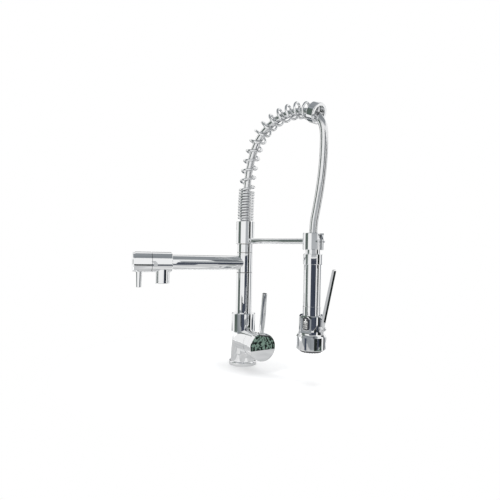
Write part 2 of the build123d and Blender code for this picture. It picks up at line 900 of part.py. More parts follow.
with BuildPart() as filler_screw:
    spin(
        [
            (screw_tip, 0),
            (screw_tip, filler_screw_diameter / 2),
            (web_end, filler_screw_diameter / 2),
            (web_end, filler_screw_head / 2),
            (web_end + filler_screw_head_height, filler_screw_head / 2),
            (web_end + filler_screw_head_height, 0),
        ],
        spout,
    )
    with BuildSketch(spout_across.offset(web_end + filler_screw_head_height)) as screw_key:
        RegularPolygon(filler_screw_key, 6)
    extrude(screw_key.sketch, amount=-filler_screw_head_height / 2, mode=Mode.SUBTRACT)
save(filler_screw, "filler_screw")

with BuildPart() as filler_cap:
    spin(
        [
            (sleeve_end - cap_spigot_length, 0),
            (sleeve_end - cap_spigot_length, cap_spigot_diameter / 2),
            (sleeve_end, cap_spigot_diameter / 2),
            (sleeve_end, cap_diameter / 2),
            (sleeve_end + cap_length - cap_round, cap_diameter / 2),
            (sleeve_end + cap_length - cap_round / 3, cap_diameter / 2 - cap_round / 3),
            (sleeve_end + cap_length, cap_diameter / 2 - cap_round),
            (sleeve_end + cap_length, cap_dimple / 2),
            (sleeve_end + cap_length - break_edge, 0),
        ],
        spout,
    )
save(filler_cap, "filler_cap")

# ---------------------------------------------------------------------------------------------------------
# Spray arm: collar on the core, spring seat, rod and open holder
# ---------------------------------------------------------------------------------------------------------

chamber_radius = collar_chamber_diameter / 2
collar_radius = collar_diameter / 2
arm_direction = Vector(1, 0, 0)
arm_height = collar_bottom + arm_rise
arm_line = lying(0, arm_height)
holder_bottom = arm_height - holder_drop
holder_top = holder_bottom + holder_height
ferrule_shoulder = holder_bottom + ferrule_rise
ferrule_top = ferrule_shoulder + ferrule_cone
holder_radius = holder_diameter / 2
arm_end = spray_reach - holder_radius
thread_into_collar = collar_radius - arm_thread_length
thread_into_holder = arm_end + holder_thread_length

with BuildPart() as arm_collar:
    spin(
        [
            (bearing_radius, collar_bottom),
            (collar_radius - break_edge, collar_bottom),
            (collar_radius, collar_bottom + break_edge),
            (collar_radius, collar_top - break_edge),
            (collar_radius - break_edge, collar_top),
            (chamber_radius, collar_top),
            (chamber_radius, bearing_top),
            (bearing_radius, bearing_top),
        ],
        column,
    )
    spin(
        sleeve(0, arm_thread_diameter / 2 + seat_gap, thread_into_collar, collar_diameter),
        arm_line,
        Mode.SUBTRACT,
    )
save(arm_collar, "arm_collar")

seat_bottom = collar_top - spring_seat_height
hose_radius = hose_diameter / 2
wire_radius = wire_diameter / 2
facet = radians(360 / wire_facets)
wire_corner = wire_radius * sqrt(facet / sin(facet))  # keeps the area of the round section
coil_radius = spring_diameter / 2 - wire_corner
spring_inner = coil_radius * cos(pi / coil_steps) - wire_corner

with BuildPart() as spring_seat:
    spin(
        [
            (hose_radius + seat_gap, seat_bottom),
            (chamber_radius - seat_gap, seat_bottom),
            (chamber_radius - seat_gap, collar_top),
            (spring_inner - swing_gap, collar_top),
            (spring_inner - swing_gap, collar_top + spring_seat_spigot),
            (hose_radius + seat_gap, collar_top + spring_seat_spigot),
        ],
        column,
    )
save(spring_seat, "spring_seat")

with BuildPart() as arm_rod:
    spin(
        [
            (thread_into_collar + seat_gap, 0),
            (thread_into_collar + seat_gap, arm_thread_diameter / 2),
            (collar_radius + arm_washer_thickness, arm_thread_diameter / 2),
            (collar_radius + arm_washer_thickness, arm_diameter / 2),
            (arm_end, arm_diameter / 2),
            (arm_end, arm_thread_diameter / 2),
            (thread_into_holder - seat_gap, arm_thread_diameter / 2),
            (thread_into_holder - seat_gap, 0),
        ],
        arm_line,
    )
save(arm_rod, "arm_rod")

with BuildPart() as arm_washer:
    spin(
        sleeve(
            arm_thread_diameter / 2 + seat_gap,
            arm_washer_diameter / 2,
            sqrt(collar_radius**2 - (arm_washer_diameter / 2) ** 2),
            collar_radius + arm_washer_thickness,
        ),
        arm_line,
    )
    spin(tube(0, collar_radius, collar_bottom, collar_top), column, Mode.SUBTRACT)
save(arm_washer, "arm_washer")

with BuildPart() as spray_holder:
    spin(tube(holder_bore / 2, holder_radius, holder_bottom, holder_top), spray)
    chamfer(spray_holder.edges().filter_by(GeomType.CIRCLE), holder_edge)
    with BuildSketch(Plane.XY.offset(holder_bottom)) as slot_plan:
        with Locations((spray_reach + holder_radius, 0)):
            Rectangle(holder_diameter, holder_slot)
    extrude(slot_plan.sketch, amount=holder_top - holder_bottom, mode=Mode.SUBTRACT)
    spin(
        sleeve(0, arm_thread_diameter / 2 + seat_gap, arm_end - swing_gap, thread_into_holder),
        arm_line,
        Mode.SUBTRACT,
    )
    catch_x = spray_reach + (holder_radius + holder_bore / 2) / 2
    catch_point = (catch_x, 0, (holder_bottom + holder_top) / 2)
    catch_plane = Plane(origin=catch_point, x_dir=(1, 0, 0), z_dir=(0, 1, 0))
    with BuildSketch(catch_plane) as catch_hole:
        Circle(catch_diameter / 2 + seat_gap)
    catch_reach = holder_slot / 2 + catch_length - catch_proud
    extrude(catch_hole.sketch, amount=catch_reach, both=True, mode=Mode.SUBTRACT)
save(spray_holder, "spray_holder")

with BuildPart() as holder_catches:
    for side in (-1, 1):
        with BuildSketch(catch_plane.offset(side * (holder_slot / 2 - catch_proud))) as catch_end:
            Circle(catch_diameter / 2)
        extrude(catch_end.sketch, amount=side * catch_length)
save(holder_catches, "holder_catches")

# ---------------------------------------------------------------------------------------------------------
# Routes of the spring and the hose, each a chain of straight runs joined by tangent arcs
# ---------------------------------------------------------------------------------------------------------


def arc_radii(route):
    """The largest arc at each corner that leaves a tenth of the shorter run straight."""
    points = [Vector(*point) for point in route]
    radii = []
    for before, corner, after in zip(points, points[1:], points[2:]):
        turn = (corner - before).get_angle(after - corner)
        shorter = min((corner - before).length, (after - corner).length)
        radii.append(0.45 * shorter / tan(radians(turn) / 2))
    return radii


def route_line(route, radii):
    """The centreline of a route in the plane of the arm."""
    with BuildLine(upright(0, 0, collar_top)[0]) as line:
        FilletPolyline(*route, radius=radii)
    return line.wire()


spring_axis = route_line(spring_route, arc_radii(spring_route))

hose_end = ferrule_top - collar_top
hose_corners = hose_route + [(spray_reach, hose_end + hose_straight), (spray_reach, hose_end)]
hose_radii = arc_radii(hose_corners)
held_corners = hose_corners[: held_corner_count + 1]
free_corners = hose_corners[held_corner_count + 1 :]
split_point = (
    (held_corners[-1][0] + free_corners[0][0]) / 2,
    (held_corners[-1][1] + free_corners[0][1]) / 2,
)
held_line = route_line(held_corners + [split_point], hose_radii[:held_corner_count])
free_line = route_line([split_point] + free_corners, hose_radii[held_corner_count:])
print("hose arc radii", [round(radius) for radius in hose_radii])
print("hose lengths", round(held_line.length, 1), round(free_line.length, 1))

# ---------------------------------------------------------------------------------------------------------
# Spring: one wire, wound close over the collar and open over the arch
# ---------------------------------------------------------------------------------------------------------

ring_start = spring_axis.length - end_ring_length
coil_start = wire_corner + seat_gap
coil_end = ring_start + end_ring_pocket - wire_corner - swing_gap
close_length = close_turns * close_pitch
open_pitch = (coil_end - coil_start - close_length) / open_turns


def coil_point(turn):
    """A point of the wire's centreline after so many turns."""
    if turn < close_turns:
        along = coil_start + turn * close_pitch
    else:
        along = coil_start + close_length + (turn - close_turns) * open_pitch
    centre = spring_axis.position_at(along / spring_axis.length)
    forward = spring_axis.tangent_at(along / spring_axis.length)
    side = Vector(0, -1, 0)
    out = side.cross(forward)
    angle = radians(360 * turn)
    return centre + (side * cos(angle) + out * -sin(angle)) * coil_radius


coil_count = (close_turns + open_turns) * coil_steps

with BuildPart() as spring:
    with BuildLine() as wire_line:
        Polyline(*[coil_point(step / coil_steps) for step in range(coil_count + 1)])
    with BuildSketch(Plane(origin=wire_line.line @ 0, z_dir=wire_line.line % 0)) as wire_section:
        RegularPolygon(wire_corner, wire_facets)
    sweep(wire_section.sketch, path=wire_line.wire(), transition=Transition.RIGHT)
save(spring, "spring")
wire_volume = pi * wire_radius**2 * wire_line.wire().length
print("spring volume over section by length", round(spring.part.volume / wire_volume, 3))

# ---------------------------------------------------------------------------------------------------------
# Hose: the stretch held in the arch, and the free stretch down to the hand spray
# ---------------------------------------------------------------------------------------------------------

with BuildPart() as arch_hose:
    with BuildSketch(Plane(origin=held_line @ 0, z_dir=held_line % 0)) as held_section:
        Circle(hose_radius)
    sweep(held_section.sketch, path=held_line)
save(arch_hose, "arch_hose")

with BuildPart() as spray_hose:
    with BuildSketch(Plane(origin=free_line @ 0, z_dir=free_line % 0)) as free_section:
        Circle(hose_radius)
    sweep(free_section.sketch, path=free_line)
save(spray_hose, "spray_hose")
hose_section = pi * hose_radius**2
held_ratio = arch_hose.part.volume / (hose_section * held_line.length)
free_ratio = spray_hose.part.volume / (hose_section * free_line.length)
print("hose volumes over section by length", round(held_ratio, 3), round(free_ratio, 3))

# ---------------------------------------------------------------------------------------------------------
# End ring on the spring's last turn
# ---------------------------------------------------------------------------------------------------------

ring_line_end = spring_axis @ 1
ring_direction = spring_axis % 1
ring_plane = Plane(origin=ring_line_end, z_dir=ring_direction)

with BuildPart() as end_ring:
    with BuildSketch(ring_plane) as ring_section:
        Circle(end_ring_diameter / 2)
        Circle(end_ring_bore / 2, mode=Mode.SUBTRACT)
    extrude(ring_section.sketch, amount=-end_ring_length)
    with BuildSketch(ring_plane.offset(-end_ring_length)) as pocket:
        Circle(spring_diameter / 2 + seat_gap)
    extrude(pocket.sketch, amount=end_ring_pocket, mode=Mode.SUBTRACT)
    outer_rims = end_ring.edges().filter_by(GeomType.CIRCLE).sort_by(SortBy.RADIUS)[-2:]
    fillet(outer_rims, end_ring_round)
save(end_ring, "end_ring")

# ---------------------------------------------------------------------------------------------------------
# Hose end: ferrule in the holder, with a journal that the hand spray turns on
# ---------------------------------------------------------------------------------------------------------

nut_top = holder_bottom - nut_drop
nut_bottom = nut_top - nut_height
ferrule_bottom = nut_top + swing_gap
swivel_bottom = nut_bottom - swivel_nose

with BuildPart() as hose_ferrule:
    spin(
        [
            (0, swivel_bottom),
            (swivel_diameter / 2, swivel_bottom),
            (swivel_diameter / 2, ferrule_bottom),
            (ferrule_diameter / 2, ferrule_bottom),
            (ferrule_diameter / 2, ferrule_shoulder),
            (ferrule_top_diameter / 2, ferrule_top),
            (0, ferrule_top),
        ],
        spray,
    )
save(hose_ferrule, "hose_ferrule")

clip_bottom = swivel_bottom + clip_set

with BuildPart() as swivel_clip:
    clip_bore = swivel_diameter / 2 + seat_gap / 2
    spin(tube(clip_bore, clip_diameter / 2, clip_bottom, clip_bottom + clip_thickness), spray)
save(swivel_clip, "swivel_clip")

# ---------------------------------------------------------------------------------------------------------
# Hand spray: nut, grip, neck, housing, nozzle ring and face
# ---------------------------------------------------------------------------------------------------------

grip_radius = grip_diameter / 2
grip_inner = grip_radius - grip_wall
swivel_bore = swivel_diameter / 2 + running_gap
nut_land = clip_bottom + clip_thickness + swing_gap
grip_bottom = nut_bottom - grip_length
neck_bottom = grip_bottom - neck_height
housing_bottom = neck_bottom - housing_height

with BuildPart() as swivel_nut:
    spin(
        [
            (swivel_bore, nut_land),
            (grip_inner - seat_gap, nut_land),
            (grip_inner - seat_gap, nut_bottom),
            (nut_diameter / 2 - nut_edge, nut_bottom),
            (nut_diameter / 2, nut_bottom + nut_edge),
            (nut_diameter / 2, nut_top - nut_edge),
            (nut_diameter / 2 - nut_edge, nut_top),
            (swivel_bore, nut_top),
        ],
        spray,
    )
save(swivel_nut, "swivel_nut")

with BuildPart() as spray_grip:
    spin(tube(grip_inner, grip_radius, grip_bottom, nut_bottom), spray)
save(spray_grip, "spray_grip")

with BuildPart() as neck_ring:
    spin(
        [
            (0, neck_bottom),
            (neck_diameter / 2, neck_bottom),
            (neck_diameter / 2, grip_bottom - break_edge),
            (neck_diameter / 2 - break_edge, grip_bottom),
            (grip_inner - seat_gap, grip_bottom),
            (grip_inner - seat_gap, grip_bottom + grip_spigot),
            (0, grip_bottom + grip_spigot),
        ],
        spray,
    )
save(neck_ring, "neck_ring")

housing_radius = housing_diameter / 2
slot_width = spray_lever_width + 2 * lever_slot_side
ear_outer = slot_width / 2 + ear_thickness
pivot_x = spray_reach + housing_radius + pivot_out
pivot_height = housing_bottom + pivot_rise
stem_height = pivot_height + stem_rise
slot_floor = housing_radius - lever_slot_depth
button_direction = heading(button_angle)
button_centre = Vector(spray_reach, 0, housing_bottom + button_rise)
button_plane = Plane(
    origin=button_centre + button_direction * (housing_radius - flat_depth),
    x_dir=UP.cross(button_direction),
    z_dir=button_direction,
)

with BuildPart() as spray_housing:
    with BuildSketch(spray[0]) as housing_profile:
        with BuildLine():
            side = Line(
                (housing_radius, neck_bottom - housing_round),
                (housing_radius, housing_bottom + flare_height),
            )
            flare = TangentArc(side @ 1, (flare_diameter / 2, housing_bottom), tangent=side % 1)
            Polyline(
                flare @ 1,
                (housing_spigot_diameter / 2, housing_bottom),
                (housing_spigot_diameter / 2, housing_bottom - housing_spigot),
                (0, housing_bottom - housing_spigot),
                (0, neck_bottom),
                (housing_radius - housing_round, neck_bottom),
                side @ 0,
            )
        make_face()
    revolve(housing_profile.sketch, axis=spray[1])
    # two ears beside the lever
    with BuildSketch(Plane.XZ.offset(-ear_outer)) as ear_side:
        with Locations((pivot_x, pivot_height)):
            Circle(ear_radius)
        with Locations((pivot_x, pivot_height)):
            Rectangle(housing_radius, 2 * ear_radius, align=(Align.MAX, Align.CENTER))
    extrude(ear_side.sketch, amount=2 * ear_outer)
    # flat that the button sits in, open at the top
    with BuildSketch(button_plane) as button_flat:
        with Locations((0, flat_rise - button_rise)):
            Rectangle(housing_diameter, housing_height, align=(Align.CENTER, Align.MIN))
    extrude(button_flat.sketch, amount=housing_radius, mode=Mode.SUBTRACT)
    # slot that the lever lies in
    with BuildSketch(Plane.XZ.offset(-slot_width / 2)) as lever_slot:
        with Locations((spray_reach + slot_floor, housing_bottom)):
            Rectangle(housing_diameter, housing_height, align=(Align.MIN, Align.MIN))
    extrude(lever_slot.sketch, amount=slot_width, mode=Mode.SUBTRACT)
    with BuildSketch(Plane.XZ.offset(-ear_outer)) as ear_hole:
        with Locations((pivot_x, pivot_height)):
            Circle(spray_pin_diameter / 2 + seat_gap / 2)
    extrude(ear_hole.sketch, amount=2 * ear_outer, mode=Mode.SUBTRACT)
    spin(
        sleeve(
            0,
            stem_diameter / 2 + running_gap,
            spray_reach + stem_root - stem_travel - swing_gap,
            spray_reach + housing_radius,
        ),
        lying(0, stem_height),
        Mode.SUBTRACT,
    )
    with BuildSketch(button_plane) as button_pocket:
        RectangleRounded(
            button_width + 2 * swing_gap,
            button_height + 2 * swing_gap,
            button_corner + swing_gap,
        )
    extrude(button_pocket.sketch, amount=-button_depth - button_travel - swing_gap, mode=Mode.SUBTRACT)
save(spray_housing, "spray_housing")

nozzle_bottom = housing_bottom - nozzle_height
face_bottom = nozzle_bottom - face_proud
face_top = face_bottom + face_thickness
nozzle_radius = nozzle_diameter / 2
face_radius = nozzle_radius - nozzle_rim

with BuildPart() as nozzle_ring:
    spin(
        [
            (housing_spigot_diameter / 2 + seat_gap, housing_bottom - seat_gap),
            (flare_diameter / 2, housing_bottom - seat_gap),
            (nozzle_radius, housing_bottom - nozzle_bevel),
            (nozzle_radius, nozzle_bottom + nozzle_lip),
            (nozzle_radius - nozzle_lip, nozzle_bottom),
            (face_radius, nozzle_bottom),
            (face_radius, face_top),
            (housing_spigot_diameter / 2 + seat_gap, face_top),
        ],
        spray,
    )
save(nozzle_ring, "nozzle_ring")

with BuildPart() as spray_face:
    spin(
        [
            (0, face_bottom),
            (face_radius - face_slope, face_bottom),
            (face_radius - seat_gap, nozzle_bottom - break_edge),
            (face_radius - seat_gap, face_top),
            (0, face_top),
        ],
        spray,
    )
save(spray_face, "spray_face")

with BuildPart() as water_plate:
    spin(
        tube(0, housing_spigot_diameter / 2 - break_edge, face_top, housing_bottom - housing_spigot),
        spray,
    )
save(water_plate, "water_plate")

# ---------------------------------------------------------------------------------------------------------
# Spray lever, its pin, the valve stem that it pushes and the mode button
# ---------------------------------------------------------------------------------------------------------

with BuildPart() as spray_pin:
    with BuildSketch(Plane.XZ.offset(seat_gap - ear_outer)) as spray_pin_section:
        with Locations((pivot_x, pivot_height)):
            Circle(spray_pin_diameter / 2)
    extrude(spray_pin_section.sketch, amount=2 * (ear_outer - seat_gap))
save(spray_pin, "spray_pin")

lever_low = Vector(pivot_x, pivot_height) + Vector(*spray_lever_foot)
lever_high = Vector(pivot_x, pivot_height) + Vector(*spray_lever_head)
lever_run = (lever_high - lever_low).normalized()
lever_across = Vector(lever_run.Y, -lever_run.X)

root = lever_across * (spray_lever_root / 2)
top = lever_across * (spray_lever_tip / 2)

with BuildPart() as spray_lever:
    with BuildSketch(Plane.XZ.offset(-spray_lever_width / 2)) as lever_side:
        with BuildLine():
            Polyline(
                lever_low - root,
                lever_low + root,
                lever_high + top,
                lever_high - top,
                close=True,
            )
        make_face()
        fillet(lever_side.vertices(), spray_lever_round)
    extrude(lever_side.sketch, amount=spray_lever_width)
    with BuildSketch(Plane.XZ.offset(-spray_lever_width)) as lever_bore:
        with Locations((pivot_x, pivot_height)):
            Circle(spray_pin_diameter / 2 + running_gap)
    extrude(lever_bore.sketch, amount=2 * spray_lever_width, mode=Mode.SUBTRACT)
save(spray_lever, "spray_lever")

lever_slope = (lever_high.X - lever_low.X) / (lever_high.Y - lever_low.Y)
lever_middle = lever_low.X + (stem_height - lever_low.Y) * lever_slope
stem_end = lever_middle - (spray_lever_root + stem_diameter * lever_slope) / 2 - stem_clearance

with BuildPart() as valve_stem:
    spin(sleeve(0, stem_diameter / 2, spray_reach + stem_root, stem_end), lying(0, stem_height))
    chamfer(valve_stem.edges().sort_by(Axis.X)[-1], stem_edge)
save(valve_stem, "valve_stem")

with BuildPart() as mode_button:
    with BuildSketch(button_plane.offset(button_proud)) as button_face:
        RectangleRounded(button_width, button_height, button_corner)
    extrude(button_face.sketch, amount=-button_depth - button_proud)
    chamfer(mode_button.faces().sort_by(Axis(button_centre, button_direction))[-1].edges(), button_edge)
save(mode_button, "mode_button")
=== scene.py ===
# %% [markdown]
# # A chrome kitchen mixer with a sprung hose, a hand spray and a filler spout
#
# The CAD frame gives every rigid piece its true shape. This lesson makes again the few pieces whose looks
# need more than CAD gives, which are the spring's wire, the hose and the nubs of the spray face. It then
# gives each piece a procedural finish and lights the tap like a product photograph.
#
# Lengths are in metres, in the frame's own axes: +Z up the column, +X towards the hand spray.

from math import cos, pi, radians, sin

import bpy
from mathutils import Matrix, Vector


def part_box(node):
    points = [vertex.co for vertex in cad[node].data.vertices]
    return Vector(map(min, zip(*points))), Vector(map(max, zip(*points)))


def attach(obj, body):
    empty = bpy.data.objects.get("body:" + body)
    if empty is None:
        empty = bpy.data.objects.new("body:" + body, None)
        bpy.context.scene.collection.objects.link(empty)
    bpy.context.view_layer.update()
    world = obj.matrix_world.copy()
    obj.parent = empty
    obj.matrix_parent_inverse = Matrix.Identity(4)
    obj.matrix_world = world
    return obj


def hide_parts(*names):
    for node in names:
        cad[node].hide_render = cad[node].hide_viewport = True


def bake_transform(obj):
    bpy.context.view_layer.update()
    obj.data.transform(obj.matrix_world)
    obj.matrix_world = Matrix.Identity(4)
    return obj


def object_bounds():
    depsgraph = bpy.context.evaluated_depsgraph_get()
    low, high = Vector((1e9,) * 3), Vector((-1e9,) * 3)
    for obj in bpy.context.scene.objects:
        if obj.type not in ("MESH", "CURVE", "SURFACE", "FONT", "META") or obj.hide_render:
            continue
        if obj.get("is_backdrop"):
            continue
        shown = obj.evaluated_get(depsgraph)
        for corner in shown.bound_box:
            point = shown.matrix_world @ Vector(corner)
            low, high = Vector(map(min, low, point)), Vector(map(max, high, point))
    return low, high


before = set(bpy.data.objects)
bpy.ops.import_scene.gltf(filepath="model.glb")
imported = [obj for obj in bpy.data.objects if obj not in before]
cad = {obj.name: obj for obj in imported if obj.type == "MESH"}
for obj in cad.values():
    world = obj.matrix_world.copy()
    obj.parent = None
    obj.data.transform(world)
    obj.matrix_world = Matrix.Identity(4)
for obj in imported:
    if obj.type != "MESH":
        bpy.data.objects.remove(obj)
start_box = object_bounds()
MM = 0.001

# %% [markdown]
# ## Camera
#
# A catalogue picture of a tap is taken from far enough away that uprights stay upright. The camera stands
# level with the middle of the tap, 45 degrees to the right of the spray arm's plane, and rolls a little
# with the picture. It could be aimed with a constraint, but as it looks level its three axes are known, and
# they are written down as a matrix.

# %% Camera
VIEW_AZIMUTH = radians(-45)
VIEW_DISTANCE = 900 * MM
VIEW_SIDE = 10.3 * MM
VIEW_HEIGHT = 227 * MM
VIEW_ROLL = radians(1.2)
LENS = 32.4
FILM_WIDTH = 36

UP = Vector((0, 0, 1))
TOWARDS = Vector((cos(VIEW_AZIMUTH), sin(VIEW_AZIMUTH), 0))
RIGHTWARDS = UP.cross(TOWARDS)

scene = bpy.context.scene


def add_object(name, data):
    """Put a new object with that data into the scene."""
    thing = bpy.data.objects.new(name, data)
    scene.collection.objects.link(thing)
    return thing


camera_data = bpy.data.cameras.new("camera")
camera_data.lens = LENS
camera_data.sensor_width = FILM_WIDTH
camera = add_object("camera", camera_data)
view_axes = Matrix((RIGHTWARDS, UP, TOWARDS)).transposed().to_4x4()
view_place = TOWARDS * VIEW_DISTANCE + RIGHTWARDS * VIEW_SIDE + UP * VIEW_HEIGHT
camera.matrix_world = Matrix.Translation(view_place) @ view_axes @ Matrix.Rotation(VIEW_ROLL, 4, "Z")
scene.camera = camera
scene.view_settings.view_transform = "Standard"
print("camera at", [round(v, 3) for v in view_place])

# %% [markdown]
# ## Routes of the hose and the spring
#
# The hose rises in the column, follows the arch inside the spring, leaves the ring at the spring's end and
# hangs down to the hand spray. Its corners are the ones that the CAD was drawn from. A NURBS spline of
# order 3 with those corners as control points runs smoothly beside every straight run between them, where a
# Bezier curve would need a handle set by hand at each corner.

# %% Routes of the hose and the spring
HOSE_DIAMETER = 14 * MM
HELD_ROUTE = [
    (0, 274),
    (0, 354),
    (18, 423),
    (44, 455.5),
    (80.5, 475),
    (120, 479),
    (147, 474.2),
    (163.5, 468.4),
    (169.2, 464),
]
FREE_ROUTE = [
    (169.2, 464),
    (174.9, 459.6),
    (183.1, 447.9),
    (187.5, 434.2),
    (188.1, 410),
    (186.6, 375),
    (182, 338),
    (175.5, 304),
    (169, 274),
    (169, 256),
]
SPRING_ROUTE = [
    (0, 283.6),
    (0, 354),
    (18, 423),
    (43, 457),
    (80, 477),
    (125, 481.5),
    (150, 476),
    (176.5, 464.4),
]
LINE_STEPS = 24
SPLINE_ORDER = 3


def smooth_line(name, route):
    """The points of a smooth spline whose control points are a route's corners."""
    data = bpy.data.curves.new(name, "CURVE")
    data.dimensions = "3D"
    data.resolution_u = LINE_STEPS
    spline = data.splines.new("NURBS")
    spline.points.add(len(route) - 1)
    for point, (x, z) in zip(spline.points, route):
        point.co = (x * MM, 0, z * MM, 1)
    spline.order_u = SPLINE_ORDER
    spline.use_endpoint_u = True
    curve = add_object(name, data)
    bpy.context.view_layer.update()
    depsgraph = bpy.context.evaluated_depsgraph_get()
    line = bpy.data.meshes.new_from_object(curve.evaluated_get(depsgraph))
    points = [vertex.co.copy() for vertex in line.vertices]
    bpy.data.objects.remove(curve)
    return points


def line_length(points):
    """The length of a line of points."""
    return sum((b - a).length for a, b in zip(points, points[1:]))


held_line = smooth_line("held_route", HELD_ROUTE)
free_line = smooth_line("free_route", FREE_ROUTE)
spring_line = smooth_line("spring_route", SPRING_ROUTE)
for line in (held_line, free_line, spring_line):
    print("line of", len(line), "points,", round(line_length(line) / MM, 1), "mm")

# %% [markdown]
# ## Shader arithmetic
#
# A finish is easier to read as a formula than as a web of nodes. `Signal` wraps one output of a node and
# adds a Math node for each operator, also where a plain number stands on the left of it.

# %% Shader arithmetic


class Signal:
    """One output of a node, which arithmetic turns into Math nodes."""

    def __init__(self, recipe, output):
        self.recipe = recipe
        self.output = output

    def math(self, operation, *values):
        """A Math node on these values."""
        return self.recipe.add("Math", {"operation": operation}, dict(enumerate(values)))

    def __add__(self, other):
        return self.math("ADD", self, other)

    def __radd__(self, other):
        return self.math("ADD", other, self)

    def __sub__(self, other):
        return self.math("SUBTRACT", self, other)

    def __rsub__(self, other):
        return self.math("SUBTRACT", other, self)

    def __mul__(self, other):
        return self.math("MULTIPLY", self, other)

    def __rmul__(self, other):
        return self.math("MULTIPLY", other, self)

    def __truediv__(self, other):
        return self.math("DIVIDE", self, other)

    def __rtruediv__(self, other):
        return self.math("DIVIDE", other, self)

    def wave(self):
        """The sine of this signal, moved to run from 0 to 1."""
        return self.math("SINE", self) * 0.5 + 0.5

    def most(self, other):
        """The larger of two signals."""
        return self.math("MAXIMUM", self, other)


print("signals ready")

# %% [markdown]
# ## Recipes
#
# A finish is a tree of nodes, and to wire it by hand takes a line for each node, each value and each link.
# `Recipe` takes a node's type, its settings and the values or signals for its sockets in one call. What
# nearly every finish needs, such as a blend of two colours, a noise or a bump, has a short word of its own.

# %% Recipes


class Recipe:
    """The emptied node tree of a material or a world."""

    def __init__(self, owner):
        owner.use_nodes = True
        self.tree = owner.node_tree
        self.tree.nodes.clear()

    def add(self, kind, settings=None, sockets=None, output=0):
        """Add a shader node. Sockets go by name or by number, and the output comes back as a signal."""
        node = self.tree.nodes.new("ShaderNode" + kind)
        for name, value in (settings or {}).items():
            setattr(node, name, value)
        shown = [socket for socket in node.inputs if socket.enabled]
        for name, value in (sockets or {}).items():
            if isinstance(name, int):
                target = shown[name]
            else:
                target = next(socket for socket in shown if socket.name == name)
            if isinstance(value, Signal):
                self.tree.links.new(value.output, target)
            else:
                target.default_value = value
        if isinstance(output, str):
            return Signal(self, node.outputs[output])
        given = [socket for socket in node.outputs if socket.enabled]
        return Signal(self, given[output]) if given else None

    def mix(self, factor, first, second):
        """A colour between two colours."""
        return self.add("Mix", {"data_type": "RGBA"}, {"Factor": factor, "A": first, "B": second})

    def noise(self, scale, detail, place=None):
        """Soft noise from 0 to 1, with about as many lumps in a metre as the scale says."""
        sockets = {"Vector": place or self.place(), "Scale": scale, "Detail": detail}
        return self.add("TexNoise", None, sockets)

    def place(self):
        """The place on the piece, in metres in the tap's frame at rest."""
        return self.add("TexCoord", None, None, "Object")

    def stretched(self, x, y, z):
        """The place on the piece, with each axis stretched."""
        vectors = {0: self.place(), 1: (x, y, z)}
        return self.add("VectorMath", {"operation": "MULTIPLY"}, vectors)

    def bump(self, height, distance, strength=1.0):
        """A normal raised by a height from 0 to 1."""
        return self.add("Bump", None, {"Strength": strength, "Distance": distance, "Height": height})

    def finish(self, shader, output="OutputMaterial"):
        """Send a shader to the tree's output."""
        self.add(output, None, {"Surface": shader})

    def surface(self, sockets):
        """Send one principled shader with those sockets to the tree's output."""
        self.finish(self.add("BsdfPrincipled", None, sockets))


def new_material(name):
    """A new material, and the recipe that fills its emptied tree."""
    material = bpy.data.materials.new(name + "_finish")
    return material, Recipe(material)


def grey(level, tint=(1, 1, 1)):
    """A colour of that level, with a slight tint."""
    return (level * tint[0], level * tint[1], level * tint[2], 1)


print("recipes ready")

# %% [markdown]
# ## Plated finishes
#
# Chrome plate shows the room and hardly any colour of its own. What keeps it from looking like a perfect
# mirror is fine: polishing leaves the roughness a little uneven, and the plated casting under it waves very
# slightly. The tubes were polished round, so their fine marks run round them. All of it is noise in the
# tap's own space, which has no seams on any shape.

# %% Plated finishes
COOL = (0.985, 0.993, 1.0)
WAVES_PER_METRE = 34
MARKS_PER_METRE = 260
SMUDGES_PER_METRE = 12
finishes = {}


def plated(slot, bright, dull, smooth, worn, wave):
    """A plated metal between two levels of brightness and of roughness."""
    finishes[slot], recipe = new_material(slot)
    cloud = recipe.noise(WAVES_PER_METRE, 3)
    marks = recipe.noise(MARKS_PER_METRE, 2, recipe.stretched(1, 1, 9))
    smudge = recipe.noise(SMUDGES_PER_METRE, 4)
    recipe.surface(
        {
            "Base Color": recipe.mix(cloud, grey(dull, COOL), grey(bright, COOL)),
            "Metallic": 1.0,
            "Roughness": smooth + (worn - smooth) * (smudge * 0.7 + marks * 0.3),
            "Normal": recipe.bump(cloud + marks * 0.08, wave),
        }
    )


plated("polished_chrome", 0.9, 0.83, 0.02, 0.07, 0.012 * MM)
plated("mirror_face", 0.92, 0.89, 0.01, 0.03, 0.002 * MM)
plated("spring_chrome", 0.9, 0.77, 0.02, 0.06, 0.012 * MM)
print("plated finishes", sorted(finishes))

# %% [markdown]
# ## Turned metals
#
# Brass and steel pieces inside are turned on a lathe and left bare, so their marks show more and they are
# warmer or duller than the plate.

# %% Turned metals
STAINS_PER_METRE = 90
RINGS_PER_METRE = 900
RING_DEPTH = 0.02 * MM


def turned(slot, light, dark, smooth, rough):
    """A bare turned metal, with fine rings and a slight stain."""
    finishes[slot], recipe = new_material(slot)
    stain = recipe.noise(STAINS_PER_METRE, 4)
    rings = recipe.noise(RINGS_PER_METRE, 1, recipe.stretched(0.2, 0.2, 4))
    recipe.surface(
        {
            "Base Color": recipe.mix(stain, dark, light),
            "Metallic": 1.0,
            "Roughness": smooth + (rough - smooth) * (stain * 0.5 + rings * 0.5),
            "Normal": recipe.bump(rings, RING_DEPTH, 0.5),
        }
    )


turned("brass", (0.78, 0.6, 0.33, 1), (0.62, 0.45, 0.22, 1), 0.2, 0.36)
turned("stem_metal", (0.7, 0.56, 0.34, 1), (0.55, 0.42, 0.24, 1), 0.22, 0.38)
turned("steel", (0.7, 0.71, 0.73, 1), (0.55, 0.56, 0.58, 1), 0.16, 0.3)
print("turned metals ready")

# %% [markdown]
# ## Plastics and rubber
#
# Moulded plastic has a faint grain and rubber a dusty bloom. Both are rough enough that noise in the
# roughness reads as handling, not as pattern.

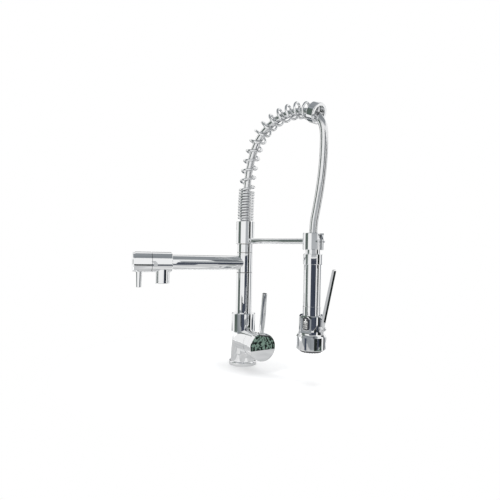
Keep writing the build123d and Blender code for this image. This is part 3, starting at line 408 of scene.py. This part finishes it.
# %% Plastics and rubber
BLOOMS_PER_METRE = 60
PORES_PER_METRE = 2400


def moulded(slot, light, dark, smooth, rough, grain):
    """A plastic or a rubber, with a fine grain and a soft bloom."""
    finishes[slot], recipe = new_material(slot)
    bloom = recipe.noise(BLOOMS_PER_METRE, 4)
    pores = recipe.noise(PORES_PER_METRE, 2)
    recipe.surface(
        {
            "Base Color": recipe.mix(bloom, dark, light),
            "Roughness": smooth + (rough - smooth) * bloom,
            "Normal": recipe.bump(pores, grain, 0.4),
        }
    )


moulded("rubber", (0.04, 0.04, 0.043, 1), (0.022, 0.022, 0.025, 1), 0.45, 0.65, 0.05 * MM)
moulded("seal_rubber", (0.045, 0.045, 0.045, 1), (0.02, 0.02, 0.02, 1), 0.25, 0.4, 0.02 * MM)
moulded("dark_ring", (0.12, 0.12, 0.125, 1), (0.07, 0.07, 0.075, 1), 0.3, 0.45, 0.02 * MM)
moulded("white_plastic", (0.82, 0.82, 0.8, 1), (0.74, 0.74, 0.72, 1), 0.35, 0.5, 0.03 * MM)
moulded("button_grey", (0.06, 0.063, 0.07, 1), (0.035, 0.037, 0.042, 1), 0.4, 0.55, 0.03 * MM)
print("moulded finishes ready")

# %% [markdown]
# ## Hose sleeve
#
# The hose has a silvery sleeve over fine spiral ribs, so the room shows in it as long soft stripes. Ribs of
# real geometry would be far finer than the picture shows, so they are a bump, with painted shade in the
# grooves between them. They are counted along the tube's own length, which each hose mesh keeps in its UV
# map.

# %% Hose sleeve
RIB_PITCH = 2.2 * MM
RIB_DEPTH = 0.06 * MM
CLOUDS_PER_METRE = 70


def sleeve_finish(slot):
    """A silvery sleeve with fine spiral ribs, and painted shade in the grooves between them."""
    finishes[slot], recipe = new_material(slot)
    around_along = recipe.add("TexCoord", None, None, "UV")
    around = recipe.add("SeparateXYZ", None, {0: around_along}, "X")
    along = recipe.add("SeparateXYZ", None, {0: around_along}, "Y")
    rib_height_and_groove_shade = ((along / RIB_PITCH + around) * (2 * pi)).wave()
    cloud = recipe.noise(CLOUDS_PER_METRE, 3)
    recipe.surface(
        {
            # Painted shade: the colour is darker in the grooves between the ribs, and it also varies at
            # random with the cloud.
            "Base Color": recipe.mix(rib_height_and_groove_shade * 0.6 + cloud * 0.4, grey(0.7, COOL), grey(0.92, COOL)),
            "Metallic": 1.0,
            "Roughness": 0.11 + cloud * 0.08 + (1 - rib_height_and_groove_shade) * 0.05,
            "Normal": recipe.bump(rib_height_and_groove_shade, RIB_DEPTH, 0.35),
        }
    )


sleeve_finish("hose_sleeve")
print("finishes", sorted(finishes))

# %% [markdown]
# ## Dressing the CAD pieces
#
# Every CAD node carries the name of its finish, so the frame is dressed in one pass. The spring's seat is
# brass that shows between the turns of the wire, so it is plated like the collar that it screws into.

# %% Dressing the CAD pieces
PLATED_BRASS = ("spring_seat",)
for name, node in cad.items():
    for place in node.material_slots:
        slot = place.material.name.split(".")[0]
        place.material = finishes["polished_chrome" if name in PLATED_BRASS else slot]
print("dressed", len(cad), "nodes")

# %% [markdown]
# ## Tubes along a line
#
# The wire and the hose are tubes along a line. A ring of points is carried along the line and turned as
# little as it can be from one place to the next, which keeps the tube from twisting. Bands of faces then
# join each ring to the next, and the same helper serves every other piece that is made of rings.

# %% Tubes along a line


def add_mesh(name, verts, faces):
    """Put a new mesh with those corners and faces into the scene."""
    mesh = bpy.data.meshes.new(name)
    mesh.from_pydata(verts, [], faces)
    return add_object(name, mesh)


def band_faces(first, sides, bands):
    """The faces of so many bands, each between one ring of corners and the next, from that corner on."""
    faces = []
    for low in range(first, first + bands * sides, sides):
        high = low + sides
        for k in range(sides):
            after = (k + 1) % sides
            faces.append((low + k, low + after, high + after, high + k))
    return faces


def tube_mesh(name, points, radius, sides):
    """A closed tube along a line of points. Its UV map holds the turn round it and the length along it."""
    verts = []
    normal = Vector((0, -1, 0))
    last = len(points) - 1
    for i, point in enumerate(points):
        forward = (points[min(i + 1, last)] - points[max(i - 1, 0)]).normalized()
        normal = (normal - forward * normal.dot(forward)).normalized()
        across = forward.cross(normal)
        for k in range(sides):
            turn = 2 * pi * k / sides
            verts.append(point + (normal * cos(turn) + across * sin(turn)) * radius)
    uvs = []
    low = 0.0
    for a, b in zip(points, points[1:]):
        high = low + (b - a).length
        for k in range(sides):
            left = k / sides
            right = (k + 1) / sides
            uvs += [(left, low), (right, low), (right, high), (left, high)]
        low = high
    start_cap = tuple(reversed(range(sides)))
    end_cap = tuple(range(last * sides, (last + 1) * sides))
    uvs += [(0, 0)] * (2 * sides)
    tube = add_mesh(name, verts, band_faces(0, sides, last) + [start_cap, end_cap])
    layer = tube.data.uv_layers.new(name="along")
    for corner, uv in zip(layer.data, uvs):
        corner.uv = uv
    tube.data.shade_smooth()
    for cap in tube.data.polygons[-2:]:
        cap.use_smooth = False
    return tube


def dress(piece, slot, body=None):
    """Give a new piece its finish, and a body to ride on."""
    piece.data.materials.append(finishes[slot])
    if body:
        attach(piece, body)


print("mesh helpers ready")

# %% [markdown]
# ## Spring
#
# The spring is one wire, wound close over the collar and opening into wide turns over the arch. A Screw
# modifier winds a straight spring, and bending that one would spread its turns unevenly. Here the winding
# is worked out point by point along the arch's own line, and swept with a round wire. The CAD has the same
# winding with flat facets, to stay light.

# %% Spring
WIRE_RADIUS = 2.3 * MM
COIL_RADIUS = 13.58 * MM
CLOSE_TURNS = 11
CLOSE_PITCH = 5.45 * MM
OPEN_TURNS = 13
RING_LENGTH = 15 * MM
RING_POCKET = 9 * MM
WIRE_STEPS = 40
WIRE_SIDES = 14
COIL_START = 2.52 * MM
POCKET_GAP = 0.2 * MM
coil_end = line_length(spring_line) - RING_LENGTH + RING_POCKET - COIL_START - POCKET_GAP
close_length = CLOSE_TURNS * CLOSE_PITCH
open_pitch = (coil_end - COIL_START - close_length) / OPEN_TURNS


def point_and_direction(points, distance):
    """Where a line of points is after that distance, and where it heads."""
    for a, b in zip(points, points[1:]):
        step = (b - a).length
        if distance <= step:
            return a + (b - a) * (distance / step), (b - a) / step
        distance -= step
    return points[-1], (points[-1] - points[-2]).normalized()


def coil_point(turn):
    """The middle of the wire after so many turns."""
    along = COIL_START + min(turn, CLOSE_TURNS) * CLOSE_PITCH + max(turn - CLOSE_TURNS, 0) * open_pitch
    centre, forward = point_and_direction(spring_line, along)
    side = Vector((0, -1, 0))
    out = side.cross(forward)
    angle = 2 * pi * turn
    return centre + (side * cos(angle) - out * sin(angle)) * COIL_RADIUS


wire_count = (CLOSE_TURNS + OPEN_TURNS) * WIRE_STEPS
wire_points = [coil_point(step / WIRE_STEPS) for step in range(wire_count + 1)]
spring_wire = tube_mesh("spring_wire", wire_points, WIRE_RADIUS, WIRE_SIDES)
dress(spring_wire, "spring_chrome", "arm")
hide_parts("spring")
print("wire length", round(line_length(wire_points), 3), "m")

# %% [markdown]
# ## Hose
#
# The hose is one length. The stretch in the arch rides on the arm with the spring. The free stretch hangs
# from the ring to the ferrule, and it stretches between the two when the spray is pulled down. Here it is
# made where it hangs at rest, on no body. A bevelled curve would draw the same tube, but its UV map runs
# from 0 to 1 on either stretch, and the ribs need the true length.

# %% Hose
HOSE_SIDES = 32
held_hose = tube_mesh("held_hose", held_line, HOSE_DIAMETER / 2, HOSE_SIDES)
dress(held_hose, "hose_sleeve", "arm")
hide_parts("arch_hose")

free_hose = tube_mesh("free_hose", free_line, HOSE_DIAMETER / 2, HOSE_SIDES)
dress(free_hose, "hose_sleeve")
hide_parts("spray_hose")
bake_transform(free_hose)
line_length(free_line)
print("hose", round(line_length(held_line), 3), "m held and", round(line_length(free_line), 3), "m free")

# %% [markdown]
# ## Nubs of the spray face
#
# The water leaves a spray through soft nubs, set in rings, that can be rubbed clean. Each is a small cone
# with a hole. They could be copies placed by a modifier, but a loop that writes them into one mesh is as
# short, and they ride on the spray as one piece.

# %% Nubs of the spray face
NUB_RINGS = {0: 1, 4.6: 6, 9.0: 12, 13.4: 18, 17.4: 24}
NUB_PROFILE = [(1.25, 0.0), (0.95, -0.75), (0.8, -0.9), (0.42, -0.9), (0.36, -0.1)]
NUB_SIDES = 16
face_low, face_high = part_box("spray_face")
spray_x = (face_low.x + face_high.x) / 2


def nub_mesh(name):
    """One mesh of hollow nubs in rings under the spray face."""
    verts = []
    faces = []
    bands = len(NUB_PROFILE) - 1
    for ring, count in NUB_RINGS.items():
        for k in range(count):
            bearing = 2 * pi * k / count
            x = spray_x + ring * MM * cos(bearing)
            y = ring * MM * sin(bearing)
            first = len(verts)
            for radius, drop in NUB_PROFILE:
                out = radius * MM
                for side in range(NUB_SIDES):
                    turn = 2 * pi * side / NUB_SIDES
                    verts.append((x + out * cos(turn), y + out * sin(turn), face_low.z + drop * MM))
            faces += [face[::-1] for face in band_faces(first, NUB_SIDES, bands)]
            hole = first + bands * NUB_SIDES
            faces.append(tuple(range(hole, hole + NUB_SIDES)))
    return add_mesh(name, verts, faces)


spray_nubs = nub_mesh("spray_nubs")
dress(spray_nubs, "rubber", "hand_spray")
print("nubs", sum(NUB_RINGS.values()))

# %% [markdown]
# ## Button bezel
#
# The button that changes the spray sits in a bright bezel on a flat of the housing. A Boolean could cut the
# opening out of a block. The bezel is only a thin band with a slanted edge, so it is drawn as rings of
# corners that step from its outline up to its opening and back down, which leaves clean faces.

# %% Button bezel
BUTTON_ANGLE = radians(-82)
FLAT_RADIUS = 18.9 * MM
BEZEL_PROUD = 0.5 * MM
BEZEL_EDGE = 0.7
BEZEL_OUTSIDE = (14.2, 24.5, 5.5)
BEZEL_OPENING = (12, 22.3, 4.4)
CORNER_STEPS = 6
button_low, button_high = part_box("mode_button")
button_out = Vector((cos(BUTTON_ANGLE), sin(BUTTON_ANGLE), 0))
button_side = UP.cross(button_out)
button_axis = Vector((spray_x, 0, (button_low.z + button_high.z) / 2))


def on_button(x, y, out):
    """A place beside the button's middle, in millimetres, at a distance from the spray's axis."""
    return button_axis + button_side * (x * MM) + UP * (y * MM) + button_out * out


def rounded_outline(width, height, corner):
    """The outline of a rectangle with round corners, in millimetres."""
    points = []
    for turn, (sx, sy) in enumerate(((1, 1), (-1, 1), (-1, -1), (1, -1))):
        for k in range(CORNER_STEPS + 1):
            angle = (turn + k / CORNER_STEPS) * pi / 2
            x = sx * (width / 2 - corner) + corner * cos(angle)
            y = sy * (height / 2 - corner) + corner * sin(angle)
            points.append((x, y))
    return points


outside = rounded_outline(*BEZEL_OUTSIDE)
opening = rounded_outline(*BEZEL_OPENING)
bezel_rings = [(outside, 0), (outside, BEZEL_EDGE), (opening, 1), (opening, 0)]
verts = []
for outline, rise in bezel_rings:
    verts += [on_button(x, y, FLAT_RADIUS + BEZEL_PROUD * rise) for x, y in outline]
button_bezel = add_mesh("button_bezel", verts, band_faces(0, len(outside), len(bezel_rings) - 1))
dress(button_bezel, "polished_chrome", "hand_spray")
print("bezel of", len(outside), "corners")

# %% [markdown]
# ## Button sign
#
# A raised sign on the button shows what it changes. It is a plain shower head, made of bars that stand a
# hair proud of the face: a stem, a head and three rows of drops. Each bar is given by its middle, its width
# and its height in millimetres.

# %% Button sign
FACE_RADIUS = 20.5 * MM
SIGN_PROUD = 0.2 * MM
STEM_BAR = (0, 6.2, 2.0, 4.4)
HEAD_BAR = (0, 3.4, 7.0, 2.2)
DROP_SIZE = (1.3, 2.4)
DROP_COLUMNS = (-2.6, 0, 2.6)
DROP_ROWS = (0.2, -3.4, -7.0)
BAR_CORNERS = ((-1, -1), (1, -1), (1, 1), (-1, 1))

bars = [STEM_BAR, HEAD_BAR]
bars += [(x, y, *DROP_SIZE) for x in DROP_COLUMNS for y in DROP_ROWS]
verts = []
faces = []
for x, y, width, height in bars:
    first = len(verts)
    for out in (FACE_RADIUS - SIGN_PROUD, FACE_RADIUS + SIGN_PROUD):
        verts += [on_button(x + sx * width / 2, y + sy * height / 2, out) for sx, sy in BAR_CORNERS]
    faces += band_faces(first, len(BAR_CORNERS), 1)
    faces.append(tuple(range(first + len(BAR_CORNERS), len(verts))))
button_mark = add_mesh("button_mark", verts, faces)
dress(button_mark, "white_plastic", "spray_button")
print("sign of", len(bars), "bars")

# %% [markdown]
# ## Table
#
# The tap stands on a round pale table that takes its soft shadow and fades into the white behind it. An
# endless floor would be all that the low parts of the tap show, so the table is small and they look past
# its edge.

# %% Table
TABLE_RADIUS = 0.37
FADE_START = 0.16
FADE_LENGTH = 0.2
TABLE_SIDES = 64
PAPER_PER_METRE = 9

turns = [2 * pi * k / TABLE_SIDES for k in range(TABLE_SIDES)]
table_rim = [(TABLE_RADIUS * cos(turn), TABLE_RADIUS * sin(turn), 0) for turn in turns]
table = add_mesh("table", table_rim, [tuple(range(TABLE_SIDES))])
table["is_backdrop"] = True

table_material, recipe = new_material("table")
distance = recipe.add("VectorMath", {"operation": "LENGTH"}, {0: recipe.place()}, "Value")
fade_range = {"Value": distance, "From Min": FADE_START, "From Max": FADE_START + FADE_LENGTH}
fade = recipe.add("MapRange", {"interpolation_type": "SMOOTHSTEP"}, fade_range)
paper = recipe.mix(recipe.noise(PAPER_PER_METRE, 3), grey(0.93), grey(0.95))
paper_shader = recipe.add("BsdfDiffuse", None, {"Color": paper})
white_shader = recipe.add("Emission", None, {"Color": grey(1.0), "Strength": 1.0})
looked_at = recipe.add("LightPath", None, None, "Is Camera Ray")
recipe.finish(recipe.add("MixShader", None, {0: fade * looked_at, 1: paper_shader, 2: white_shader}))
table.data.materials.append(table_material)
print("table of radius", TABLE_RADIUS, "m")

# %% [markdown]
# ## Room
#
# White shows behind the tap and in the plate, as it would in a tent of white cloth. The light that the room
# throws on the tap is a little weaker, so that pale plastic keeps its shade.

# %% Room
ROOM_LIGHT = 0.75

world = bpy.data.worlds.new("room")
scene.world = world
recipe = Recipe(world)
looked_at = recipe.add("LightPath", None, None, "Is Camera Ray")
mirrored = recipe.add("LightPath", None, None, "Is Glossy Ray")
passed = recipe.add("LightPath", None, None, "Is Transmission Ray")
white = recipe.add("Background", None, {"Color": grey(1.0), "Strength": 1.0})
soft = recipe.add("Background", None, {"Color": grey(1.0, COOL), "Strength": ROOM_LIGHT})
shown_white = looked_at.most(mirrored).most(passed)
recipe.finish(recipe.add("MixShader", None, {0: shown_white, 1: soft, 2: white}), "OutputWorld")
print("room light", ROOM_LIGHT)

# %% [markdown]
# ## Cards
#
# Plate in an all white room looks like paper. A photographer stands dark and grey cards round it, out of
# the picture, and their reflections draw the shape. Here a card is a plain rectangle that glows with a
# mottled shade of its own, so that it takes no lamp. Reflections alone show it, and it casts no shadow.

# %% Cards
CARD_LUMPS_PER_METRE = 9
CARD_CONTRAST = 2.0


def camera_step(right, towards, up):
    """A step in millimetres to the camera's right, towards the camera and up."""
    return (RIGHTWARDS * right + TOWARDS * towards + UP * up) * MM


def card(name, light, dark, middle, across, rise, lumps=CARD_LUMPS_PER_METRE, contrast=CARD_CONTRAST):
    """A mottled card, from the step to its middle and the steps from there to a side and to its top."""
    centre = camera_step(*middle)
    side = camera_step(*across)
    lift = camera_step(*rise)
    corners = [centre - side - lift, centre + side - lift, centre + side + lift, centre - side + lift]
    piece = add_mesh(name, corners, [(0, 1, 2, 3)])
    material, recipe = new_material(name)
    mottle = (recipe.noise(lumps, 5) - 0.5) * contrast + 0.5
    shade = recipe.mix(mottle, (*dark, 1), (*light, 1))
    recipe.finish(recipe.add("Emission", None, {"Color": shade, "Strength": 1.0}))
    piece.data.materials.append(material)
    piece.visible_camera = False
    piece.visible_diffuse = False
    piece.visible_shadow = False
    piece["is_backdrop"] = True


print("card helpers ready")

# %% [markdown]
# ## Where the cards stand
#
# An upright tube shows what stands before it as upright stripes, so most cards stand on the camera's side,
# and each dark stripe answers to one of them. Rims and roundings look back and up, to the cards behind the
# tap and over it. The low parts look past the edge of the table, to the cards that hang below its top. The
# cards that lie on the table brighten what looks down, and the mirror disc of the handle has a leaf green
# card to itself. Each row says how light and how dark the card is, where its middle is, and how far its
# sides reach.

# %% Where the cards stand
NAVY = (0.085, 0.1, 0.135)
DEEP_NAVY = (0.03, 0.036, 0.055)
MOSS = (0.17, 0.21, 0.19)
DEEP_MOSS = (0.07, 0.09, 0.08)
INK = (0.03, 0.038, 0.036)
BLACK = (0.008, 0.01, 0.01)
LEAF = (0.2, 0.29, 0.24)
MIST = (0.56, 0.57, 0.58)
STONE = (0.38, 0.4, 0.42)
SLATE = (0.2, 0.22, 0.235)
PEARL = (0.76, 0.76, 0.76)
ASH = (0.5, 0.51, 0.52)
WHITE = (1.0, 1.0, 1.0)

CARDS = [
    ("front_low_card", NAVY, DEEP_NAVY, (147, 315, 137), (125, 10, 0), (0, 0, 75)),
    ("front_foot_card", INK, BLACK, (222, 318, 36), (55, 5, 0), (0, 0, 26)),
    ("front_high_card", MIST, STONE, (152, 315, 275), (120, 10, 0), (0, 0, 60)),
    ("front_side_card", NAVY, DEEP_NAVY, (308, 304, 36), (33, -14, 0), (0, 0, 26)),
    ("front_strip_card", NAVY, DEEP_NAVY, (-22, 237, 55), (58, -15, 0), (0, 0, 40)),
    ("knob_strip_card", INK, BLACK, (-128, 250, 72), (49, -13, 0), (0, 0, 36)),
    ("apron_card", STONE, SLATE, (100, 420, -110), (260, 0, 0), (0, 0, 138)),
    ("lever_card", INK, BLACK, (1300, -170, -315), (40, -170, 0), (0, 0, 215)),
    ("lever_light_card", PEARL, STONE, (-100, 187, 135), (0, 9, 0), (0, 15, 95)),
    ("front_post_card", SLATE, DEEP_NAVY, (212, 318, 425), (60, 5, 0), (0, 0, 95)),
    ("low_left_card", STONE, SLATE, (-169, 220, 42), (91, 70, 0), (0, 0, 30)),
    ("left_card", MOSS, DEEP_MOSS, (-1154, 252, 450), (-66, -418, 0), (0, 0, 800)),
    ("right_card", INK, BLACK, (1225, 640, 175), (75, -310, 0), (0, 0, 525)),
    ("right_grey_card", SLATE, NAVY, (1280, -420, 175), (-80, -190, 0), (0, 0, 525)),
    ("ceiling_card", STONE, SLATE, (-75, 300, 1250), (1075, 0, 0), (0, 700, 0), 3),
    ("table_card", PEARL, ASH, (60, 140, 0.4), (330, 0, 0), (0, 290, 0), 14),
    ("table_strip_card", WHITE, PEARL, (-80, 89, 0.6), (30, 27, 0), (-53, 59, 0)),
    ("table_gleam_card", WHITE, PEARL, (54, 92, 0.6), (-19, 14, 0), (27, 36, 0)),
    ("leaf_card", LEAF, BLACK, (189, 187, 23), (60, -22, 0), (0, 0, 23), 190, 11.0),
    ("back_left_card", MOSS, DEEP_MOSS, (-270, -1300, 65), (150, 0, 0), (0, 0, 265)),
    ("back_right_card", NAVY, DEEP_NAVY, (335, -1300, 65), (185, 0, 0), (0, 0, 265)),
    ("ground_card", SLATE, DEEP_NAVY, (0, -1150, -260), (1300, 0, 0), (0, 700, 0), 3),
    ("back_high_card", INK, BLACK, (-100, -1300, 690), (700, 0, 0), (0, 0, 360)),
]

for row in CARDS:
    card(*row)
print(len(CARDS), "cards stand")

# %% [markdown]
# ## Lamps
#
# Two soft boxes and a soft top light, at a plain level. The plate does not show them, because a lamp's
# white square in every rounding would hide the stripes of the cards.

# %% Lamps
LAMP_AIM = 0.22


def soft_box(name, right, towards, height, width, power):
    """A square soft box, placed and sized in metres, aimed at a point on the column."""
    data = bpy.data.lights.new(name, "AREA")
    data.shape = "SQUARE"
    data.size = width
    data.energy = power
    lamp = add_object(name, data)
    place = RIGHTWARDS * right + TOWARDS * towards + UP * height
    facing = (UP * LAMP_AIM - place).to_track_quat("-Z", "Y")
    lamp.matrix_world = Matrix.Translation(place) @ facing.to_matrix().to_4x4()
    lamp.visible_glossy = False


soft_box("left_box", -0.9, 0.7, 0.9, 0.6, 7)
soft_box("right_box", 0.9, 0.5, 1.0, 0.5, 4)
soft_box("top_box", 0.1, -0.2, 1.4, 0.9, 6)
print("lamps on")

# %% [markdown]
# ## Finish
#
# The box of the whole object is taken before and after dressing, and the top of each is printed.

# %% Finish
end_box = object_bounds()
cad_top, dressed_top = (round(box[1][2] / MM, 1) for box in (start_box, end_box))
print("top at", cad_top, "mm in the CAD and", dressed_top, "mm dressed")
